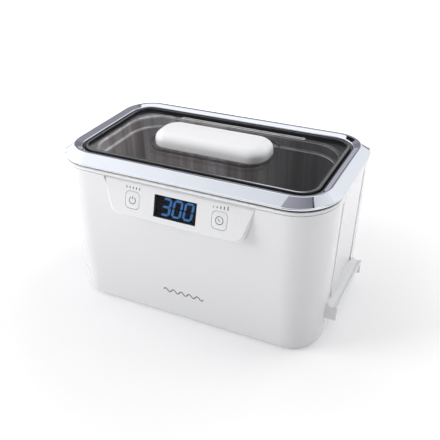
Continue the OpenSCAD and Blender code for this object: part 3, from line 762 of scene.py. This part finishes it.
# Width of the lid's pale border, and of the dark line inside it
BORDER = 1.7
LINE = 0.8


def lid_ring(r, z):
    """A ring around the lid at height z, given by its corner radius."""
    return plan(CORNER_X + r, CORNER_Y + r, r, z, 16)


def over_well(half_x, half_y, r, z, mid_x=HANDLE_X):
    """A ring around the handle's middle, or around the well's."""
    return [(x + mid_x, y, z) for x, y, z in plan(half_x, half_y, r, z, 16, HANDLE_Y)]


def well_ring(grow, z):
    """The well's outline at height z, pushed out by grow."""
    return over_well(WELL[0] + grow, WELL[1] + grow, WELL[2] + grow, z, WELL_X)


def lid_levels(clear, edge, border, line, wall):
    """The lid's rings, each with the material of the band that ends at it."""
    fillet = 1.2
    skirt = 1.5
    edge_r = 0.7
    floor_in = -12
    low = tank_high.z + 0.08
    under = LID_TOP - LID_T
    inner = LID_R - skirt
    border_in = LID_R - BORDER
    line_in = border_in - LINE
    floor_arc = arc(fillet, WELL_FLOOR + fillet, fillet, 270, 190, 6)
    mouth_arc = arc(fillet, LID_TOP - fillet, fillet, 170, 90, 6)
    edge_arc = arc(0, LID_TOP - edge_r, edge_r, 72, 0, 4)
    sink = 0.12
    # Top side, from the middle of the well outwards
    levels = [(well_ring(floor_in, WELL_FLOOR), clear)]
    levels += [(well_ring(-u, v), clear) for u, v in floor_arc]
    # The well's wall takes the darker band: partly its own smoke, partly painted shade round the handle's
    # foot
    levels += [(well_ring(u, v), wall) for u, v in mouth_arc]
    levels += [(lid_ring(line_in, LID_TOP), clear)]
    levels += [(lid_ring(border_in - LINE / 2, LID_TOP - 0.35), line)]
    levels += [(lid_ring(border_in, LID_TOP), line)]
    levels += [(lid_ring(LID_R - edge_r, LID_TOP - sink), border)]
    levels += [(lid_ring(LID_R - edge_r + u, v - sink), edge) for u, v in edge_arc]
    # Skirt, and back under the sheet
    levels += [(lid_ring(LID_R, low), edge), (lid_ring(inner, low), edge)]
    levels += [(lid_ring(inner, under - 0.6), edge), (lid_ring(inner - 0.6, under), edge)]
    levels += [(lid_ring(border_in, under), edge), (lid_ring(line_in, under), clear)]
    levels += [(well_ring(u + LID_T, v - LID_T), clear) for u, v in reversed(mouth_arc)]
    levels += [(well_ring(-u + LID_T, v - LID_T), clear) for u, v in reversed(floor_arc)]
    levels += [(well_ring(floor_in, WELL_FLOOR - LID_T), clear)]
    return levels


def make_lid():
    """Clear sheet with a turned-down edge, a pale border and a pressed well around the handle."""
    slots = ("smoke", "smoke_edge", "smoke_border", "smoke_line", "smoke_wall")
    clear = slots.index("smoke")
    levels = lid_levels(*range(len(slots)))
    ob = loft("lid_sheet", [ring for ring, _ in levels])
    for name in slots:
        ob.data.materials.append(MATERIALS[name])
    around = len(levels[0][0])
    for i, poly in enumerate(ob.data.polygons):
        level = i // around + 1
        poly.material_index = levels[level][1] if level < len(levels) else clear
    return finish_piece(ob, None, "lid", ["lid_panel"])


def make_seal():
    """Black ring round the lid, with a soft top. Its black paints the shaded gap between the lid and the rim,
    and its rear is painted lighter.
    """
    inner, outer = LID_R + 0.4, MOUTH[2] - 0.06
    height = 2.2
    low = tank_high.z + 0.02
    high = low + height
    r, chamfer = 0.6, 0.15
    profile = [(outer, low), (outer, high - chamfer), (outer - chamfer, high)]
    profile += arc(inner + r, high - r, r, 90, 180, 5)
    profile.append((inner, low))
    ob = loft("seal_ring", [lid_ring(x, z) for x, z in profile], closed=True)
    return finish_piece(ob, MATERIALS["seal"], "cleaner", ["lid_seal"])


def make_handle():
    """Loaf-shaped handle: upright sides, a broad roll over the edge, a slightly crowned top."""
    low, high = handle_low.z, handle_high.z
    half_x = (handle_high.x - handle_low.x) / 2
    half_y = (handle_high.y - handle_low.y) / 2
    corner, least_corner = 12.5, 5

    def ring(inset, r, z):
        return over_well(half_x - inset, half_y - inset, r, z)

    foot = low + 0.05
    rings = [ring(14, 2, foot)]
    rings += [ring(inset, corner - inset, z) for inset, z in ((0.5, foot), (0.12, low + 0.3), (0, low + 0.8))]
    # Roll from the upright side to the top
    upright, crown, steps = 4.0, 0.35, 12
    roll_up, roll_in = high - low - upright, 7.5
    for i in range(steps + 1):
        a = math.radians(90 * i / steps)
        inset = roll_in * (1 - math.cos(a) ** 1.15)
        z = high - crown - roll_up * (1 - math.sin(a))
        rings.append(ring(inset, max(corner - inset * 0.8, least_corner), z))
    # Crown of the top: how far in past the roll, the corner there and the drop from the highest point
    for further, r, drop in ((2.5, 4.5, 0.16), (5.5, 2.6, 0.05), (7.5, 0.9, 0.01)):
        rings.append(ring(roll_in + further, r, high - drop))
    ob = loft("handle_loaf", rings)
    return finish_piece(ob, MATERIALS["handle"], "lid", ["lid_handle"], 60)


# ---------------------------------------------------------------- tank

def make_tank():
    """Drawn tank: flange, rolled mouth, a step high in the wall, a filleted floor and two beads."""
    t = 0.8
    top, floor = tank_high.z, tank_low.z + t
    tank_x, tank_y, tank_r = 83.5, 41.5, 25.0
    step = 1.4
    step_z = top - 8.0
    fillet = 8.0
    edge = tank_high.x - CORNER_X
    floor_in = 22
    roll = 1.8
    roll_z = top - roll

    def ring(inset, z, out=0.0):
        return plan(tank_x - inset + out, tank_y - inset + out, tank_r - inset + out, z, 20)

    inside = [(floor_in, floor + 0.1)]
    inside += [(step + fillet - u, v) for u, v in arc(0, floor + fillet, fillet, -85, 0, 9)]
    inside += [(step, step_z - 1.1), (step * 0.85, step_z - 0.6)]
    inside += [(step * 0.4, step_z - 0.3), (0.05, step_z), (0, roll_z - 0.1)]
    mouth = [(-roll - u, v) for u, v in arc(0, roll_z, roll, 180, 90, 6)]
    rings = [ring(i, z) for i, z in inside + mouth]
    rings.append(plan(CORNER_X + edge, CORNER_Y + edge, edge, top, 20))
    rings.append(plan(CORNER_X + edge, CORNER_Y + edge, edge, top - t, 20))
    outside = [p for p in inside if p[1] < top - t - 2]
    rings += [ring(i, z - t * 0.6, t) for i, z in reversed(outside)]
    rings[-1] = ring(floor_in, floor - t)
    ob = loft("tank_shell", rings)
    finish_piece(ob, MATERIALS["steel_tank"], "cleaner", ["tank"], 45)
    # Pale beads along the two edges of the wall, whose colour paints the highlights along those edges
    for name, inset, z in (("mouth_highlight_bead", -0.3, top - 1.7), ("step_highlight_bead", step, step_z - 1.2)):
        outer, inner = inset - 0.1, inset + 0.35
        levels = ((outer, z - 0.3), (inner, z - 0.3), (inner, z + 0.1), (outer, z + 0.2))
        bead = loft(name, [ring(i, v) for i, v in levels], closed=True)
        finish_piece(bead, MATERIALS["rib"], "cleaner")


def make_lid_rib():
    """Slim raised outline on the lid, behind the handle, whose pale colour paints a thin highlight line."""
    mid_x, mid_y = 4.0, 33.6
    half_x, half_y = 50.0, 1.4
    width, proud, sunk = 0.5, 0.12, -0.2
    levels = ((0, sunk), (0, proud), (-width, proud), (-width, sunk))
    rings = []
    for grow, z in levels:
        r = half_y + grow - 0.05
        ring = plan(half_x + grow, half_y + grow, r, LID_TOP + z, 6, MID_Y + mid_y)
        rings.append([(x + mid_x, y, v) for x, y, v in ring])
    ob = loft("lid_rib", rings, closed=True)
    return finish_piece(ob, MATERIALS["rib"], "lid")


# ---------------------------------------------------------------- grips

def panel_skins(z_low, t):
    """Outer and inner skin of a grip's flush panel, point for point, from the top down."""
    top = LIP_Z - 0.35
    eased = 0.4
    heights = (top, top - eased, top - 4, 90, 72, 56, 42, z_low)
    return [((end_x(z) - (eased if z == top else 0), z), (end_x(z) - t, z)) for z in heights]


def ledge_skins(reach, z_start, t):
    """Outer and inner skin of a grip's ledge: a sweep from upright to level, then an upturned bead."""
    x_start = end_x(z_start)
    run, rise = reach - x_start - 3.0, GRIP_RISE - 0.9
    steps = 18
    skins = [((x_start - 0.9, z_start + 0.2), (x_start - 1.8, z_start + 0.1))]
    for i in range(steps + 1):
        a = math.radians(90 * i / steps)
        x = x_start + run * (1 - math.cos(a))
        z = z_start - rise * math.sin(a)
        lean = math.atan2(run * math.sin(a), rise * math.cos(a))
        skins.append(((x, z), (x - t * math.cos(lean), z - t * math.sin(lean))))
    bead = 0.95
    floor = z_start - rise
    skins.append(((reach - 2 * bead, floor + 0.25), (reach - 2 * bead, floor - t)))
    for a in (130, 100, 70, 40, 10):
        dx, dz = bead * math.cos(math.radians(a)), bead * math.sin(math.radians(a))
        outer = (reach - bead + dx, GRIP_Z - bead + dz)
        inner = (outer[0] - 0.02, GRIP_Z - 1.75 * bead - dz * 0.4)
        skins.append((outer, inner))
    return skins


def make_grip(name, side, node):
    """Flush panel between two grooves, above a thin swept ledge with closed ends."""
    reach = grip_high.x
    t = 1.8
    z_start = GRIP_Z + GRIP_RISE - 2.0
    x_start = end_x(z_start)
    z_join = z_start - 1
    half = GRIP_HALF - 0.35

    def place(x, z, y):
        return (side * x, y + MID_Y, z)

    ledge = ledge_skins(reach, z_start, t)
    ob = strip_solid(name, skin_rings(ledge, half, place))
    # A cheek closes each end of the ledge, and follows the underside of its sweep
    wall_low = GRIP_Z - GRIP_END
    sweep = ledge[1:-6:3]
    cheek = [(end_x(wall_low) - 2, wall_low), (x_start - 2, z_join)]
    cheek += [(x - 0.5, z - 0.7) for (x, z), _ in sweep]
    cheek += [(reach - 0.6, GRIP_Z - 1.4), (reach - 0.75, wall_low)]
    parts = [prism("cheek", cheek, y, y + t, place) for y in (-half + 0.05, half - t - 0.05)]
    for part in parts:
        soften(part, 0.3, 2, 50)
    # The foot carries the panel's wall down behind the ledge
    foot_x, foot_z = end_x(wall_low), wall_low - 5
    foot = [(x_start - 0.3, z_join), (foot_x + 0.05, foot_z), (foot_x - t, foot_z), (x_start - t, z_join)]
    parts.append(prism("foot", foot, -half + 0.3, half - 0.3, place))
    panel = panel_skins(z_join, t)
    parts.append(strip_solid("panel", skin_rings(panel, PANEL_HALF - 0.35, place)))
    combine(ob, parts, "UNION")
    combine(ob, grooves(side), "DIFFERENCE")
    return finish_piece(ob, MATERIALS["body"], "cleaner", [node], 30)


def skin_rings(skins, half, place):
    """Rings across a sheet given by its two skins, with its two side edges eased."""
    rings = []
    # A distance in from the side edge, and how far the outer skin sinks there
    near = ((0, 0.45), (0.15, 0.15), (0.5, 0))
    eased = [(inset - half, shrink) for inset, shrink in near]
    eased += [(half - inset, shrink) for inset, shrink in reversed(near)]
    for y, shrink in eased:
        ring = []
        for (ox, oz), (ix, iz) in skins:
            k = min(shrink / max(math.hypot(ix - ox, iz - oz), 0.01), 0.5)
            ring.append(place(ox + (ix - ox) * k, oz + (iz - oz) * k, y))
        ring += [place(ix, iz, y) for _, (ix, iz) in reversed(skins)]
        rings.append(ring)
    return rings


def strip_solid(name, rings):
    """Joins rings that run out along one skin and back along the other, with quads at both ends."""
    n = len(rings[0])
    verts = [p for ring in rings for p in ring]
    faces = []
    for i in range(len(rings) - 1):
        a, b = i * n, (i + 1) * n
        faces += [(a + k, a + (k + 1) % n, b + (k + 1) % n, b + k) for k in range(n)]
    for start in (0, len(verts) - n):
        faces += [(start + k, start + k + 1, start + n - 2 - k, start + n - 1 - k) for k in range(n // 2 - 1)]
    return mesh_from(name, verts, faces)


# ---------------------------------------------------------------- mark on the front

def make_ripple_mark():
    """A plain wavy line low on the front, printed in grey."""
    z = 24.0
    slope = (TOP_Y - FOOT_Y) / (LIP_Z - FOOT_Z)
    y = MID_Y - FOOT_Y - slope * (z - FOOT_Z)
    waves, steps = 5, 80
    span, height, width, proud = 32.0, 1.35, 0.85, 0.05
    rings = []
    for i in range(steps + 1):
        s = i / steps
        phase = 2 * math.pi * waves * s
        x = span * (s - 0.5)
        v = height * math.sin(phase)
        lean = math.atan(height * 2 * math.pi * waves / span * math.cos(phase))
        dx, dv = -math.sin(lean) * width / 2, math.cos(lean) * width / 2
        ring = []
        for sign, lift in ((1, 0.0), (-1, 0.0), (-1, proud), (1, proud)):
            dz = v + sign * dv
            ring.append((x + sign * dx, y - slope * dz - lift, z + dz))
        rings.append(ring)
    ink(loft("ripple_mark", rings), "cleaner")


# ---------------------------------------------------------------- carried-over CAD pieces

def dress_cad_nodes():
    """Every CAD node gets its slot's material."""
    for part in frame["record"]["subparts"]:
        ob = frame["nodes"][part["node"]]
        material = MATERIALS[part["material_slot"]]
        for index in range(max(len(ob.data.materials), 1)):
            if len(ob.material_slots) <= index:
                ob.data.materials.append(material)
            ob.material_slots[index].material = material


# ---------------------------------------------------------------- stage

def make_floor():
    """Plain pale floor, which glows a little more with its distance from the middle, so the weaker glow near
    the body paints shade around it.
    """
    mesh = bpy.data.meshes.new("floor")
    half = 8.0
    corners = [(-half, -half, 0), (half, -half, 0), (half, half, 0), (-half, half, 0)]
    mesh.from_pydata(corners, [], [(0, 1, 2, 3)])
    ob = new_object("floor", mesh)
    m = Nodes("floor_gloss")
    m.set(base_color=(0.80, 0.80, 0.805), roughness=m.span(m.noise(3, 2), 0.45, 0.55))
    reach = m.node("ShaderNodeVectorMath", operation="LENGTH")
    m.feed(reach.inputs[0], m.position)
    # Painted shade: the glow is weakest near the body and full far from it
    near, far = 0.14, 0.75
    glow = m.span(reach.outputs["Value"], 0.20, 1.0, near, far)
    m.set(specular_ior_level=0.0, emission_color=(1.0, 1.0, 1.0), emission_strength=glow)
    mesh.materials.append(m.material)


def area_light(name, place, target, size, power):
    """A soft light that reflections do not show."""
    data = bpy.data.lights.new(name, "AREA")
    data.shape = "RECTANGLE"
    data.size, data.size_y = size
    data.energy = power
    ob = bpy.data.objects.new(name, data)
    bpy.context.scene.collection.objects.link(ob)
    ob.location = place
    ob.visible_glossy = False
    ob.rotation_euler = (Vector(target) - Vector(place)).to_track_quat("-Z", "Y").to_euler()


def card(name, corner, across, up, start, stop, colour):
    """A flat studio card that only reflections show. Its glow runs from start to stop across it."""
    c = Vector(corner)
    mesh = bpy.data.meshes.new(name)
    mesh.from_pydata([c, c + across, c + across + up, c + up], [], [(0, 1, 2, 3)])
    ob = new_object(name, mesh)
    m = Nodes(name)
    way = across.normalized()
    first = c.dot(way)
    glow = m.span(along(m, way), start, stop, first, first + across.length)
    m.set(base_color=(0, 0, 0), roughness=1.0, specular_ior_level=0.0)
    m.set(emission_color=colour, emission_strength=glow)
    mesh.materials.append(m.material)
    ob.visible_camera = False
    ob.visible_shadow = False
    ob.visible_diffuse = False


def make_world():
    """Faint even light from all sides."""
    world = bpy.data.worlds.new("studio")
    world.use_nodes = True
    background = world.node_tree.nodes["Background"]
    background.inputs["Color"].default_value = (0.98, 0.985, 1.0, 1)
    background.inputs["Strength"].default_value = 0.20
    bpy.context.scene.world = world


def make_lights():
    """Three soft lights, from the left, from above and from behind on the right."""
    area_light("key", (-0.80, -0.48, 0.45), (0, 0, 0.06), (0.5, 0.5), 5.9)
    area_light("top", (-0.10, 0.00, 0.90), (-0.10, 0.0, 0), (1.2, 0.9), 4.4)
    area_light("back_right", (0.58, 0.60, 0.55), (0.1, 0, 0.06), (0.9, 0.6), 4.4)


def make_cards():
    """What the chrome reflects: a ceiling of sky cards, and walls at the back and on the left."""
    cool, grey, dark = (0.96, 0.98, 1.03), (0.94, 0.94, 1.08), (1.0, 1.0, 1.05)
    ceiling, front, depth = 0.90, -0.60, 0.77 * REAR
    card("sky_far", (-2.60, front, ceiling), 1.80 * RIGHT, 1.7 * REAR, 1.25, 1.25, cool)
    card("sky_left", (-0.80, front, ceiling), 0.64 * RIGHT, depth, 1.25, 0.80, cool)
    card("sky_patch", (-0.16, front, ceiling), 0.475 * RIGHT, depth, 0.42, 0.24, grey)
    card("sky_line", (0.315, front, ceiling), 0.025 * RIGHT, depth, 0.02, 0.02, dark)
    card("sky_back", (-0.80, 0.17, ceiling), 1.14 * RIGHT, 0.29 * REAR, 1.15, 1.15, cool)
    card("sky_right", (0.34, front, ceiling), 0.90 * RIGHT, 1.25 * REAR, 0.72, 1.25, cool)
    card("far_left", (-2.60, -1.60, 0.0), 6.0 * REAR, 0.89 * UP, 1.25, 1.25, cool)
    back, width = 0.66, 1.06 * RIGHT
    card("end_sky", (0.0, 0.65, 0.16), width, 0.82 * UP, 0.90, 1.05, cool)
    card("land_wall", (-1.10, back, 0.05), 1.16 * RIGHT, 0.23 * UP, 0.50, 0.50, grey)
    card("ridge_wall", (-1.00, back, 0.28), width, 0.24 * UP, 0.20, 0.26, grey)
    card("land_grey", (-1.00, 0.68, 0.52), width, 0.60 * UP, 0.33, 0.33, grey)
    card("corner_black", (-0.60, 0.62, 0.70), 0.24 * RIGHT, 0.66 * UP, 0.01, 0.01, dark)


def make_camera():
    """Camera to the front right of the object, a little above it and rolled very slightly."""
    data = bpy.data.cameras.new("camera")
    data.sensor_width = 36.0
    data.lens = 51.96
    data.clip_start = 0.01
    ob = bpy.data.objects.new("camera", data)
    bpy.context.scene.collection.objects.link(ob)
    azimuth, elevation, roll = math.radians(26.37), math.radians(31.09), math.radians(-1.04)
    distance = 0.4694
    target = Vector((5.7, MID_Y - 8.0, 60.0)) * MM
    level = Vector((math.sin(azimuth), -math.cos(azimuth), 0))
    back = level * math.cos(elevation) + UP * math.sin(elevation)
    right = Vector((math.cos(azimuth), math.sin(azimuth), 0))
    up = back.cross(right)
    rolled_right = right * math.cos(roll) + up * math.sin(roll)
    rolled_up = up * math.cos(roll) - right * math.sin(roll)
    rotation = Matrix((rolled_right, rolled_up, back)).transposed()
    ob.matrix_world = Matrix.Translation(target + back * distance) @ rotation.to_4x4()
    bpy.context.scene.camera = ob


make_camera()
make_floor()
make_world()
make_lights()
make_cards()
make_housing()
make_rim()
make_visor()
make_button("power_cap", -1, "power_key", "power_button")
make_button("timer_cap", 1, "timer_key", "timer_button")
make_icons()
make_window()
make_seal()
make_lid()
make_handle()
make_tank()
make_lid_rib()
make_grip("grip_panel_right", 1, "right_grip")
make_grip("grip_panel_left", -1, "left_grip")
make_rim_shadow_strip()
make_ripple_mark()
dress_cad_nodes()
bpy.context.scene.view_settings.view_transform = "Standard"
